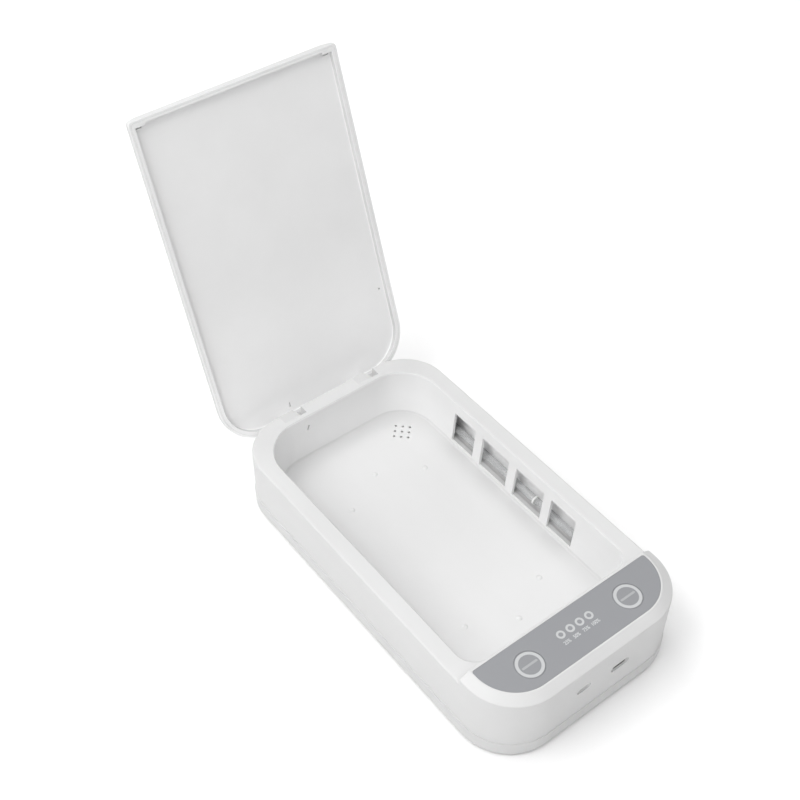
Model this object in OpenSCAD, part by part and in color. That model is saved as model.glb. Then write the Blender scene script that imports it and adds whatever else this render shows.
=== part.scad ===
// Ultraviolet sanitizer box for phones, shown with its lid open.
// Frame: +Z up, +X to the right seen from the control panel, +Y towards the hinge.
// Origin: centre of the base, on the plane that the feet stand on. Units: mm.

/* [Housing] */
// Width of the housing between its side walls
body_w = 118.5; // [117.5:0.5:120]
// Length of the housing from the front wall to the rear wall
body_l = 215; // [213:1:218]
// Height of the tray rim above the table
rim_z = 38.3; // [37.8:0.1:39]
// Height of the control block above the tray rim
block_h = 5.7; // [5.5:0.1:6]
// Depth of the control block from the front wall to the lid's free end
block_d = 31.7; // [31:0.1:32.4]
// Thickness of the outer walls
wall = 2.2; // [2:0.1:2.4]
// Radius of the two rear corners
rear_r = 24.7; // [24:0.1:26]
// Radius of the two front corners
front_r = 27.7; // [27:0.1:28.5]
// Inset of the bevel round the top of the lid and the control block
bevel_in = 5.2; // [4.6:0.1:5.4]
// Height of that bevel
bevel_h = 2.7; // [2.2:0.1:3]
// Height of the feet below the base
foot_h = 1; // [0.8:0.1:1.2]

/* [Tray] */
// Half of the tray's width at its mouth
tray_hw = 50.2; // [49.6:0.1:50.6]
// Height of the tray floor above the table
floor_z = 9.7; // [9.5:0.1:10]
// Thickness of the tray's walls and floor
tray_t = 1.6; // [1.4:0.1:1.7]
// Diameter of one aroma hole
aroma_hole_d = 1.4; // [1.2:0.1:1.8]

/* [Lid] */
// Angle of the open lid from its closed position
open_angle = 110; // [95:1:110]
// Gap between the closed lid and the rim
lid_gap = 0.4; // [0.35:0.05:0.5]
// Depth of the recess inside the lid's lip
lid_recess = 2.6; // [2:0.1:2.7]
// Width of the lip along the lid's sides
lid_lip = 3.4; // [3:0.1:4]
// Diameter of the hinge pins
pin_d = 2; // [1.8:0.1:2.2]

/* [Keys] */
// Diameter of a key
key_d = 14.3; // [14.2:0.1:14.8]
// Distance from the middle of the panel to a key's centre
key_x = 30.4; // [29:0.1:31]
// Outer diameter of a progress light ring
led_od = 4.4; // [4:0.1:4.8]
// Spacing of the progress lights
led_pitch = 5.8; // [5.5:0.1:6.2]

/* [Lamps] */
// Diameter of a lamp tube
lamp_d = 4.2; // [3.8:0.1:4.4]
// Length of a lamp tube
lamp_l = 122; // [116:1:124]

/* [Hidden] */

e = 0.01;
hw = body_w / 2;                 // half width of the housing
yr = body_l / 2;                 // rear wall, outside
yf = -body_l / 2;                // front wall, outside
yb = yf + block_d;               // rear face of the control block
lid_end = yb + 0.4;              // free end of the lid, closed
top_z = rim_z + block_h;         // top of the control block and of the lid
bev_z = top_z - bevel_h;         // where the bevel starts
base_z = foot_h;                 // underside of the bottom cover
seam_z = 10;                     // seam between housing and bottom cover
rim_t = 2;                       // thickness of the rim
rim_b = rim_z - rim_t;           // underside of the rim
mouth_y0 = yb + 2.6;             // tray mouth, front edge
mouth_y1 = yr - 8.64;            // tray mouth, rear edge
mouth_rf = 10;                   // tray mouth, front corner radius
mouth_rr = 22.3;                 // tray mouth, rear corner radius
side_slope = 0.084;              // draft of the tray's side walls
end_slope = 0.052;               // draft of the tray's end walls
// hinge axis, along X
piv_y = yr - 2.75;
piv_z = rim_z - 7.73;
knuckle_r = 2.6;
notch_x0 = 17.2;
notch_x1 = 30.7;
lug_x0 = 17.45;
lug_x1 = 30.45;
stop_z = piv_z - 3.85;           // floor of the hinge notches, which stops the lid
// control panel
pan_y0 = yf + 5.9;               // overlay, front edge
pan_y1 = yb - 1.4;               // overlay, rear edge
pan_hw = 53.3;
pan_r = 21.9;
pan_t = 0.8;
deck_t = 1;
deck_b = top_z - pan_t - deck_t; // underside of the deck
key_y = yf + 17.4;
led_y = yf + 20.7;
key_travel = 0.5;
kb_t = 1.6;
kb_top = deck_b - 5.2;           // top of the key board
// main board and sockets
mb_top = 26;
mb_t = 1.6;
usbc_x = 11.7;
usbc_z = 25.4;
musb_x = -11.3;
musb_z = 27.35;
// lamps
lamp_x = 52.4;
lamp_z = rim_z - 21.9;
refl_z = rim_z - 15.6;
lamp_y1 = 70.5;
lamp_y0 = lamp_y1 - lamp_l;
win_z0 = rim_z - 26.86;
win_z1 = rim_z - 7.25;
windows = [[41, 58.1], [14.1, 35.1], [-13.1, 8.4], [-36.6, -18.5]];
bumps = [[24.3, 52], [-24.3, 52], [24.3, -40], [-24.3, -40], [0, 64.5], [0, -52.3]];
aroma_x = 30.9;
aroma_y = 80.5;
slit_x = -18.1;
cover_posts = [[47.7, 96.4], [-47.7, 96.4], [50, -88], [-50, -88], [0, 103.2], [0, -77.6]];
board_posts = [[38, -93], [-38, -93], [38, -83.5], [-38, -83.5]];
kb_posts = [[40.5, -96.5], [-40.5, -96.5], [40.5, -81.4], [-40.5, -81.4]];
foot_pos = [[46, 78], [-46, 78], [46, -76], [-46, -76]];

// ---------- outlines ----------
// Rounded rectangle, half width h, from y0 to y1, front corners rf, rear corners rr
module rr2(h, y0, y1, rf, rr) {
    intersection() {
        union() {
            translate([-h, y0 + rf]) square([2 * h, y1 - rr - y0 - rf]);
            translate([-h + rf, y0]) square([2 * (h - rf), rf + e]);
            translate([-h + rr, y1 - rr - e]) square([2 * (h - rr), rr + e]);
            for (s = [-1, 1]) {
                translate([s * (h - rf), y0 + rf]) circle(r = rf, $fn = rf > 5 ? 96 : 24);
                translate([s * (h - rr), y1 - rr]) circle(r = rr, $fn = rr > 5 ? 96 : 24);
            }
        }
        translate([-h - 1, y0 - 1]) square([2 * h + 2, y1 - y0 + 1]);
    }
}
// The same as a prism from z0 to z1
module slab(h, y0, y1, rf, rr, z0, z1) {
    translate([0, 0, z0]) linear_extrude(z1 - z0) rr2(h, y0, y1, rf, rr);
}
// A thin slice of it, inset by d, for the blends
module slice(h, y0, y1, rf, rr, z, d = 0) {
    translate([0, 0, z]) linear_extrude(0.01)
        rr2(h - d, y0 + d, y1 - d, max(rf - d, 0.4), max(rr - d, 0.4));
}
// Slot with round ends, w wide along X and h high, running along Y from y0 to y1
module stadium(w, h, y0, y1) {
    translate([0, y1, 0]) rotate([90, 0, 0]) linear_extrude(y1 - y0) {
        square([w - h, h], center = true);
        for (s = [-1, 1]) translate([s * (w - h) / 2, 0]) circle(d = h, $fn = 48);
    }
}
// Flat ring of outer diameter od and inner diameter id, from z0 to z1
module ring(od, id, z0, z1) {
    translate([0, 0, z0]) difference() {
        cylinder(d = od, h = z1 - z0, $fn = 96);
        translate([0, 0, -1]) cylinder(d = id, h = z1 - z0 + 2, $fn = 96);
    }
}
module pan_outline(d = 0) {
    rr2(pan_hw + d, pan_y0 - d, pan_y1 + d, pan_r + d, 1.2);
}
function tray_h(z) = tray_hw - (rim_z - z) * side_slope;
function tray_r(z) = mouth_y1 - (rim_z - z) * end_slope;
function tray_f(z) = mouth_y0 + (rim_z - z) * end_slope;

// ---------- housing ----------
module main_housing() {
    color("white") difference() {
        union() {
            difference() {
                union() {
                    // walls and the softened rim
                    slab(hw, yf, yr, front_r, rear_r, seam_z, rim_z - 1);
                    hull() {
                        slice(hw, yf, yr, front_r, rear_r, rim_z - 1 - e);
                        slice(hw, yf, yr, front_r, rear_r, rim_z - 0.3, 0.3);
                        slice(hw, yf, yr, front_r, rear_r, rim_z - 0.01, 1);
                    }
                    // control block with its bevel
                    intersection() {
                        hull() {
                            slice(hw, yf, yr, front_r, rear_r, rim_z - 2);
                            slice(hw, yf, yr, front_r, rear_r, bev_z);
                            slice(hw, yf, yr, front_r, rear_r, top_z - 0.01, bevel_in);
                        }
                        translate([-80, yf - 1, 0]) cube([160, block_d + 1, 60]);
                    }
                }
                // hollow under the rim, and up into the block
                slab(hw - wall, yf + wall, yr - wall, front_r - wall, rear_r - wall, seam_z - 1, rim_b);
                slab(hw - 4.5, yf + 4.5, yb - 1.8, front_r - 4.5, 2, rim_b - 1, deck_b);
            }
            // wall between the block and the tray, under the rim
            translate([-46, yb - 1.8, rim_b - 1]) cube([92, 1.8, 1.5]);
            // posts for the cover screws and for the key board
            for (p = cover_posts) translate([p[0], p[1], seam_z + 0.6])
                cylinder(d = 5.6, h = (p[1] < yb - 3 ? deck_b : rim_b) - seam_z - 0.5, $fn = 32);
            for (p = kb_posts) translate([p[0], p[1], kb_top]) cylinder(d = 4.4, h = deck_b - kb_top + 0.1, $fn = 32);
            // bosses that carry the hinge pins, up to the rim
            for (x = [13.4, 30.7]) for (s = [-1, 1]) translate([s > 0 ? x : -x - 3.8, piv_y - 2.9, piv_z - 2.9])
                cube([3.8, 4.2, rim_b + 0.2 - (piv_z - 2.9)]);
        }
        // mouth of the tray
        slab(tray_hw, mouth_y0, mouth_y1, mouth_rf, mouth_rr, rim_b - e, rim_z + 1);
        // seat of the overlay, key and light openings
        translate([0, 0, top_z - pan_t]) linear_extrude(2) pan_outline(0.1);
        for (s = [-1, 1]) translate([s * key_x, key_y, deck_b - 1]) cylinder(d = key_d + 0.6, h = 4, $fn = 96);
        for (i = [0:3]) translate([(i - 1.5) * led_pitch, led_y, deck_b - 1]) cylinder(d = 3.6, h = 3, $fn = 48);
        // sockets
        translate([usbc_x, 0, usbc_z]) stadium(10.9, 3.9, yf - 1, yf + wall + 0.5);
        translate([musb_x, 0, musb_z]) stadium(8.1, 3.1, yf - 1, yf + wall + 0.5);
        translate([musb_x - 4, yf + 0.9, mb_top - 0.15]) cube([8, wall, 2.9]);
        // hinge notches
        for (s = [-1, 1]) translate([s > 0 ? notch_x0 : -notch_x1, piv_y - 2.95, stop_z])
            cube([notch_x1 - notch_x0, 10, 20]);
        // hinge pin bores
        for (s = [-1, 1]) translate([s > 0 ? 14.2 : -33.8, piv_y, piv_z]) rotate([0, 90, 0])
            cylinder(d = pin_d, h = 19.6, $fn = 48);
        // pilot holes for the screws
        for (p = cover_posts) translate([p[0], p[1], seam_z]) cylinder(d = 3, h = 9, $fn = 32);
        for (p = kb_posts) translate([p[0], p[1], kb_top - 1]) cylinder(d = 1.7, h = 5, $fn = 32);
    }
}

module tray_cavity() {
    hull() {
        slice(tray_h(rim_b), tray_f(rim_b), tray_r(rim_b), mouth_rf, mouth_rr, rim_b + 0.1);
        slice(tray_h(floor_z + 1.5), tray_f(floor_z + 1.5), tray_r(floor_z + 1.5), 8.6, 20.9, floor_z + 1.5);
        slice(tray_h(floor_z + 0.6), tray_f(floor_z + 0.6), tray_r(floor_z + 0.6), 8.6, 20.9, floor_z + 0.5, 0.4);
        slice(tray_h(floor_z), tray_f(floor_z), tray_r(floor_z), 8.6, 20.9, floor_z, 1.4);
    }
}
module tray() {
    color("whitesmoke") {
        difference() {
            hull() {
                slice(tray_h(rim_b) + tray_t, tray_f(rim_b) - tray_t, tray_r(rim_b) + tray_t, mouth_rf + tray_t, mouth_rr + tray_t, rim_b - 0.01);
                slice(tray_h(floor_z) + tray_t, tray_f(floor_z) - tray_t, tray_r(floor_z) + tray_t, 8.6 + tray_t, 20.9 + tray_t, floor_z - tray_t);
            }
            tray_cavity();
            // lamp windows in both side walls
            for (w = windows) for (s = [-1, 1]) translate([s > 0 ? 44 : -56, w[0], win_z0]) cube([12, w[1] - w[0], win_z1 - win_z0]);
            // slit beside the hinge
            translate([slit_x - 0.5, mouth_y1 + 0.5, rim_z - 8.4]) rotate([0, 20, 0]) cube([1.1, 5, 3.4], center = true);
            // aroma holes
            for (i = [-1:1]) for (j = [-1:1]) translate([aroma_x + (i - j) * 2.75, aroma_y + (i + j) * 2.75, floor_z - 4])
                cylinder(d = aroma_hole_d, h = 6, $fn = 24);
        }
        // bumps that hold the phone off the floor
        intersection() {
            for (b = bumps) translate([b[0], b[1], floor_z - 1.4]) sphere(r = 2, $fn = 32);
            translate([-60, -100, floor_z - 0.2]) cube([120, 200, 5]);
        }
    }
}

module bottom_cover() {
    h = hw + 0.4;
    color("white") difference() {
        union() {
            hull() {
                slice(h, yf - 0.4, yr + 0.4, front_r + 0.4, rear_r + 0.4, base_z, 1.7);
                slice(h, yf - 0.4, yr + 0.4, front_r + 0.4, rear_r + 0.4, base_z + 0.5, 0.6);
                slice(h, yf - 0.4, yr + 0.4, front_r + 0.4, rear_r + 0.4, base_z + 1.7);
            }
            difference() {
                union() {
                    slab(h, yf - 0.4, yr + 0.4, front_r + 0.4, rear_r + 0.4, base_z + 1.7, seam_z);
                    slab(hw - wall - 0.1, yf + wall + 0.1, yr - wall - 0.1, front_r - wall - 0.1, rear_r - wall - 0.1, seam_z - 1, seam_z + 1.8);
                }
                slab(hw - wall - 1.3, yf + wall + 1.3, yr - wall - 1.3, front_r - wall - 1.3, rear_r - wall - 1.3, base_z + 2, seam_z + 3);
            }
            intersection() {
                for (p = cover_posts) translate([p[0], p[1], base_z + 1]) cylinder(d = 7, h = seam_z + 0.4 - base_z - 1, $fn = 32);
                union() {
                    slab(hw, yf, yr, front_r, rear_r, base_z, seam_z);
                    slab(hw - wall - 0.1, yf + wall + 0.1, yr - wall - 0.1, front_r - wall - 0.1, rear_r - wall - 0.1, seam_z - 1, seam_z + 1);
                }
            }
            for (p = board_posts) translate([p[0], p[1], base_z + 1]) cylinder(d = 5, h = mb_top - mb_t - base_z - 1, $fn = 32);
            // rests under the tray
            for (x = [-35, 35]) for (y = [-35, 30]) translate([x, y, base_z + 1]) cylinder(d = 6, h = floor_z - tray_t - base_z - 1, $fn = 32);
            // collar round the aroma cup
            translate([aroma_x, aroma_y, 0]) ring(27.4, 25, base_z + 1, base_z + 4);
        }
        for (p = cover_posts) translate([p[0], p[1], 0]) {
            cylinder(d = 6, h = base_z + 3, $fn = 32);
            cylinder(d = 3.2, h = 12, $fn = 32);
            // room in the inner skirt for the housing's posts
            translate([0, 0, seam_z + 0.4]) cylinder(d = 6.2, h = 3, $fn = 32);
        }
        for (p = board_posts) translate([p[0], p[1], mb_top - mb_t - 8]) cylinder(d = 2, h = 9, $fn = 32);
        for (p = foot_pos) translate([p[0], p[1], -1]) cylinder(d = 10.2, h = base_z + 1.6, $fn = 48);
    }
}

module feet() {
    color("gray") for (p = foot_pos) translate([p[0], p[1], 0]) {
        cylinder(d1 = 9.2, d2 = 10, h = 0.5, $fn = 48);
        translate([0, 0, 0.5]) cylinder(d = 10, h = base_z + 0.1, $fn = 48);
    }
}

// Pan-head screw, head diameter hd and height hh below the origin, shank d and length l above it
module screw(hd, hh, d, l) {
    difference() {
        translate([0, 0, -hh]) cylinder(d1 = hd * 0.8, d2 = hd, h = hh, $fn = 32);
        for (a = [0, 90]) rotate([0, 0, a]) translate([-hd * 0.3, -0.35, -hh - 1]) cube([hd * 0.6, 0.7, 1.9]);
    }
    translate([0, 0, -e]) cylinder(d = d, h = l, $fn = 32);
}
module cover_screws() {
    color("silver") for (p = cover_posts) translate([p[0], p[1], base_z + 3]) screw(5.4, 2, 2.9, 12.5);
}

// ---------- control panel ----------
module panel_overlay() {
    color("slategray") difference() {
        translate([0, 0, top_z - pan_t]) linear_extrude(pan_t) pan_outline();
        for (s = [-1, 1]) translate([s * key_x, key_y, top_z - 2]) cylinder(d = key_d + 0.3, h = 4, $fn = 96);
        for (i = [0:3]) translate([(i - 1.5) * led_pitch, led_y, 0]) ring(led_od, led_od - 2.1, top_z - 0.4, top_z + 1);
    }
}
module led_rings() {
    color("aliceblue") for (i = [0:3]) translate([(i - 1.5) * led_pitch, led_y, 0]) ring(led_od, led_od - 2.1, top_z - 0.4, top_z);
}
module key(x) {
    color("slategray") translate([x, key_y, 0]) difference() {
        union() {
            translate([0, 0, deck_b - 0.9]) cylinder(d = key_d, h = top_z - deck_b + 0.9, $fn = 96);
            // flange that keeps the key under the deck
            translate([0, 0, deck_b - 0.9]) cylinder(d = 17, h = 0.8, $fn = 96);
        }
        ring(key_d - 0.9, key_d - 3.9, top_z - 0.4, top_z + 1);
    }
}
module key_ring(x) {
    color("aliceblue") translate([x, key_y, 0]) ring(key_d - 0.9, key_d - 3.9, top_z - 0.4, top_z);
}
module stem(x) {
    color("dimgray") translate([x, key_y, kb_top + 2]) cylinder(d = 3.4, h = deck_b - 0.9 - kb_top - 2, $fn = 32);
}
module start_key() { key(-key_x); }
module start_ring() { key_ring(-key_x); }
module start_stem() { stem(-key_x); }
module aroma_key() { key(key_x); }
module aroma_ring() { key_ring(key_x); }
module aroma_stem() { stem(key_x); }

module key_board() {
    color("green") difference() {
        translate([-43.2, -99, kb_top - kb_t]) cube([86.4, 20, kb_t]);
        // room for the middle cover post
        translate([-4, -81, kb_top - kb_t - 1]) cube([8, 5, kb_t + 2]);
        for (p = kb_posts) translate([p[0], p[1], 0]) cylinder(d = 2.1, h = 60, $fn = 32);
    }
}
module tact_switches() {
    color("dimgray") for (s = [-1, 1]) translate([s * key_x, key_y, kb_top]) difference() {
        translate([-3, -3, 0]) cube([6, 6, 3.4]);
        translate([0, 0, 1.2]) cylinder(d = 4, h = 4, $fn = 32);
    }
}
module indicator_leds() {
    color("khaki") for (i = [0:3]) translate([(i - 1.5) * led_pitch, led_y, kb_top]) {
        translate([-1.6, -1.4, 0]) cube([3.2, 2.8, 1.1]);
        translate([0, 0, 1.1 - e]) cylinder(d = 2.4, h = 0.8, $fn = 32);
    }
}
module board_ribbon() {
    // flat ribbon from the key board down to the main board, behind both
    color("ivory") translate([8, -79.9, 0]) {
        translate([0, -3.2, kb_top - kb_t - 1]) cube([12, 4, 1]);
        translate([0, 0, mb_top]) cube([12, 0.8, kb_top - kb_t - mb_top]);
        translate([0, -3.2, mb_top]) cube([12, 4, 1]);
    }
}

// ---------- main board ----------
module main_board() {
    color("green") translate([0, 0, mb_top - mb_t]) difference() {
        linear_extrude(mb_t) difference() {
            polygon([[-44, -80.6], [44, -80.6], [44, -96], [28, -104.9], [-28, -104.9], [-44, -96]]);
            translate([usbc_x - 4.8, -106]) square([9.6, 6.9]);
            for (p = board_posts) translate(p) circle(d = 2.3, $fn = 32);
        }
    }
}
module board_screws() {
    color("silver") {
        for (p = board_posts) translate([p[0], p[1], mb_top]) rotate([180, 0, 0]) screw(4, 1.6, 1.9, 6.5);
        for (p = kb_posts) translate([p[0], p[1], kb_top - kb_t]) screw(3.4, 1.4, 1.6, 5.2);
    }
}
module usb_c_socket() {
    color("silver") translate([usbc_x, 0, usbc_z]) {
        difference() {
            stadium(8.94, 3.26, -106.6, -99.4);
            stadium(8.34, 2.66, -107, -100.6);
        }
        translate([-3.35, -105.8, -0.35]) cube([6.7, 5.4, 0.7]);
    }
}
module micro_usb_socket() {
    color("silver") translate([musb_x, 0, mb_top]) {
        difference() {
            translate([0, -101.4, 0]) rotate([90, 0, 0]) linear_extrude(5.1)
                polygon([[-3, 0], [3, 0], [3.8, 0.9], [3.8, 2.6], [-3.8, 2.6], [-3.8, 0.9]]);
            translate([0, -102.6, 0]) rotate([90, 0, 0]) linear_extrude(6)
                polygon([[-2.8, 0.3], [2.8, 0.3], [3.5, 1.05], [3.5, 2.3], [-3.5, 2.3], [-3.5, 1.05]]);
        }
        translate([-2, -105.6, 1.35]) cube([4, 3.2, 0.6]);
    }
}
module hv_transformer() {
    color("goldenrod") translate([-20, -88.5, mb_top]) {
        difference() {
            translate([-8, -5.5, 0]) cube([16, 11, 7]);
            for (s = [-1, 1]) translate([s > 0 ? 4 : -6.2, -6, 1.6]) cube([2.2, 12, 6]);
        }
    }
}
module capacitors() {
    color("darkslategray") for (p = [[18, -87], [26, -87]]) translate([p[0], p[1], mb_top]) {
        translate([-3.3, -3.3, 0]) cube([6.6, 6.6, 0.9]);
        translate([0, 0, 0.9 - e]) cylinder(d = 6.3, h = 6.2, $fn = 48);
    }
}
module controller_chip() {
    color("darkslategray") translate([0, -91, mb_top]) {
        translate([-5, -3.2, 0.2]) cube([10, 6.4, 1.5]);
        for (i = [0:6]) for (s = [-1, 1]) translate([-4.4 + i * 1.27, s > 0 ? 3.1 : -4.7, 0]) cube([0.45, 1.6, 0.7]);
    }
}
module lamp_connectors() {
    color("ivory") for (s = [-1, 1]) translate([s * 32, -96.5, mb_top]) difference() {
        translate([-3.6, -2.6, 0]) cube([7.2, 5.2, 4.8]);
        translate([-2.8, -1.8, 1.2]) cube([5.6, 3.6, 5]);
    }
}

// ---------- lamps ----------
module lamp(s) {
    color("lightcyan") translate([s * lamp_x, lamp_y0 + 2.1, lamp_z]) {
        rotate([-90, 0, 0]) cylinder(d = lamp_d, h = lamp_l - 4.2, $fn = 48);
        sphere(d = lamp_d, $fn = 48);
        translate([0, lamp_l - 4.2, 0]) sphere(d = lamp_d, $fn = 48);
    }
}
module right_lamp() { lamp(1); }
module left_lamp() { lamp(-1); }
module lamp_holders() {
    color("lightgray") for (s = [0, 1]) mirror([s, 0, 0]) for (y = [lamp_y0 + 2.2, lamp_y1 - 7.2]) difference() {
        translate([51, y, lamp_z - 4]) cube([5.8, 5, 8]);
        translate([lamp_x, y - 1, lamp_z]) rotate([-90, 0, 0]) cylinder(d = lamp_d + 0.04, h = 7, $fn = 48);
    }
}
module lamp_clips() {
    // thin C clips round the tubes
    color("white") for (s = [0, 1]) mirror([s, 0, 0]) translate([lamp_x, -5.6, lamp_z]) rotate([-90, 0, 0]) difference() {
        cylinder(d = lamp_d + 1, h = 1, $fn = 48);
        translate([0, 0, -1]) cylinder(d = lamp_d + 0.04, h = 3, $fn = 48);
        translate([0.6, -0.9, -1]) cube([5, 1.8, 3]);
    }
}
// Curved sheet behind a lamp, open towards the tray
function refl_pt(t, d) = [53.7 + (3.05 + d) * sin(t), refl_z - 1.1 + (9.6 + d) * cos(t)];
module reflector(s) {
    color("silver") mirror([s, 0, 0]) translate([0, lamp_y1 - 7.5, 0]) rotate([90, 0, 0])
        linear_extrude(lamp_l - 17) polygon(concat(
            [[51.5, refl_z + 8.5]], [for (t = [0:9:180]) refl_pt(t, 0)], [[50.1, refl_z - 10.7]],
            [[50.1, refl_z - 10.35]], [for (t = [180:-9:0]) refl_pt(t, -0.35)], [[51.5, refl_z + 8.15]]));
}
module right_reflector() { reflector(0); }
module left_reflector() { reflector(1); }

module wire(p, d) {
    for (i = [0:len(p) - 2]) hull() {
        translate(p[i]) sphere(d = d, $fn = 12);
        translate(p[i + 1]) sphere(d = d, $fn = 12);
    }
}
module lamp_leads() {
    color("white") for (s = [-1, 1]) {
        // from the front end of the tube
        wire([[s * lamp_x, lamp_y0 - 0.6, lamp_z], [s * lamp_x, -62, lamp_z], [s * 51, -76, 33.5], [s * 33.4, -93, 33.5], [s * 33.4, -96.5, 32.8], [s * 33.4, -96.5, 29]], 1.2);
        // return from the rear end, along the floor of the base
        wire([[s * lamp_x, lamp_y1 + 0.6, lamp_z], [s * lamp_x, 76, lamp_z], [s * lamp_x, 76, 8], [s * lamp_x, 74.5, 6.5], [s * lamp_x, -70, 6.5],
              [s * 46, -78, 14], [s * 46, -78, 31.5], [s * 30.6, -91, 31.5], [s * 30.6, -93.2, 32.2], [s * 30.6, -96.5, 32.2], [s * 30.6, -96.5, 29]], 1.2);
    }
}

// ---------- aroma unit under the floor ----------
module aroma_cup() {
    color("whitesmoke") translate([aroma_x, aroma_y, base_z + 2]) difference() {
        cylinder(d = 24.6, h = 4.9, $fn = 64);
        translate([0, 0, 0.8]) cylinder(d = 22.4, h = 6, $fn = 64);
    }
}
module aroma_heater() {
    color("orange") translate([aroma_x, aroma_y, base_z + 2.8]) cylinder(d = 20, h = 0.8, $fn = 64);
}
module aroma_sponge() {
    color("mistyrose") translate([aroma_x, aroma_y, base_z + 3.6]) cylinder(d = 21.6, h = 3.2, $fn = 64);
}

// ---------- lid ----------
module at_pivot(a) {
    translate([0, piv_y, piv_z]) rotate([a, 0, 0]) translate([0, -piv_y, -piv_z]) children();
}
module lid_shell() {
    z0 = rim_z + lid_gap;
    zp = rim_z + lid_gap + lid_recess;
    color("white") at_pivot(-open_angle) difference() {
        union() {
            difference() {
                hull() {
                    slice(hw, lid_end, yr, 2, rear_r, z0);
                    slice(hw, lid_end, yr, 2, rear_r, bev_z);
                    translate([0, 0, top_z - 0.01]) linear_extrude(0.01) rr2(hw - bevel_in, lid_end, yr - bevel_in, 0.5, rear_r - bevel_in);
                }
                slab(hw - lid_lip, lid_end + 2.7, yr - lid_lip, 1, rear_r - lid_lip, z0 - 1, zp);
                // small pockets in the panel at the two free corners
                for (s = [-1, 1]) translate([s > 0 ? 51.9 : -54.9, lid_end + 3.8, zp - 1]) cube([3, 1.3, 1.7]);
                // short slot in the panel above the slit
                translate([slit_x - 0.45, yr - 9.6, zp - 1]) cube([0.9, 2.8, 1.8]);
            }
            // gussets that close the two free corners
            for (s = [-1, 1]) translate([s > 0 ? 50.2 : -56, lid_end + 2, z0]) cube([5.8, 1.7, zp - z0 + 0.2]);
            // hinge lugs
            for (s = [-1, 1]) translate([s > 0 ? lug_x0 : -lug_x1, 0, 0]) {
                translate([0, piv_y, piv_z]) rotate([0, 90, 0]) cylinder(r = knuckle_r, h = lug_x1 - lug_x0, $fn = 64);
                translate([0, piv_y - 1.75, piv_z]) cube([lug_x1 - lug_x0, 4.2, zp - piv_z + 0.3]);
            }
            // cam beside the left lug, which works the lid switch
            hull() {
                translate([-18.6, piv_y, piv_z]) rotate([0, 90, 0]) cylinder(r = 2, h = 1, $fn = 32);
                translate([-18.6, piv_y - 3.6 * cos(70), piv_z - 3.6 * sin(70)]) rotate([0, 90, 0]) cylinder(r = 0.9, h = 1, $fn = 32);
            }
        }
        // bore for the hinge pins
        for (s = [-1, 1]) translate([s > 0 ? 15 : -33, piv_y, piv_z]) rotate([0, 90, 0]) cylinder(d = pin_d + 0.1, h = 18, $fn = 48);
    }
}
module hinge_pins() {
    color("silver") for (s = [-1, 1]) translate([s > 0 ? 14.3 : -33.7, piv_y, piv_z]) rotate([0, 90, 0]) cylinder(d = pin_d, h = 19.4, $fn = 48);
}

// ---------- lid switch, under the left cam ----------
module lid_switch() {
    color("dimgray") difference() {
        translate([-22.2, piv_y - 4.1, piv_z - 11.5]) cube([8.2, 4.4, 5.6]);
        translate([slit_x, piv_y - 1.5, piv_z - 9.5]) cylinder(d = 2, h = 8, $fn = 32);
    }
}
module switch_plunger() {
    color("crimson") translate([slit_x, piv_y - 1.5, piv_z - 8.2]) cylinder(d = 1.6, h = 8.2 - 3.65, $fn = 32);
}

main_housing();
tray();
bottom_cover();
feet();
cover_screws();
panel_overlay();
led_rings();
start_key();
start_ring();
start_stem();
aroma_key();
aroma_ring();
aroma_stem();
key_board();
tact_switches();
indicator_leds();
board_ribbon();
main_board();
board_screws();
usb_c_socket();
micro_usb_socket();
hv_transformer();
capacitors();
controller_chip();
lamp_connectors();
right_lamp();
left_lamp();
lamp_holders();
lamp_clips();
right_reflector();
left_reflector();
lamp_leads();
aroma_heater();
aroma_sponge();
aroma_cup();
lid_switch();
switch_plunger();
lid_shell();
hinge_pins();
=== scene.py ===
import bpy
import bmesh
import math
from mathutils import Matrix, Vector


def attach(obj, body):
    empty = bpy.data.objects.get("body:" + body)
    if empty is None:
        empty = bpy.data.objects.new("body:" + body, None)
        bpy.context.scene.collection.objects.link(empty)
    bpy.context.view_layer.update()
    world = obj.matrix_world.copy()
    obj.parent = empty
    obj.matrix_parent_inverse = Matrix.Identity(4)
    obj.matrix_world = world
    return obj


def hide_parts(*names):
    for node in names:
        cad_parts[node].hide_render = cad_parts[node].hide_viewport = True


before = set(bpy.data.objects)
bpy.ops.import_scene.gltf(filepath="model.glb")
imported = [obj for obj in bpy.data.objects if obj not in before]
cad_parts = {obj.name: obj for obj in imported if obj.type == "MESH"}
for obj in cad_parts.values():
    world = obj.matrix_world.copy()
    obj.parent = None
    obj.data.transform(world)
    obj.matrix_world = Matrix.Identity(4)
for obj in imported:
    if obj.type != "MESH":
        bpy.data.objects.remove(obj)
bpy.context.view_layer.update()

MM = 0.001
PIV = (104.75, 30.57)            # hinge axis, y and z in mm
OPEN = -110.0                    # angle of the open lid from closed
HW, YR, YF = 59.25, 107.5, -107.5
RIM, TOP, SEAM = 38.3, 44.0, 10.0
YB = -75.8                       # rear face of the control block
KEY_X, KEY_Y = 30.4, -90.1
LED_Y, LED_PITCH = -86.8, 5.8
FLOOR_Z = 9.7

# ------------------------------------------------------------------ materials


def principled(name):
    m = bpy.data.materials.new(name)
    m.use_nodes = True
    nt = m.node_tree
    p = next(n for n in nt.nodes if n.type == "BSDF_PRINCIPLED")
    return m, nt, p


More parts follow.
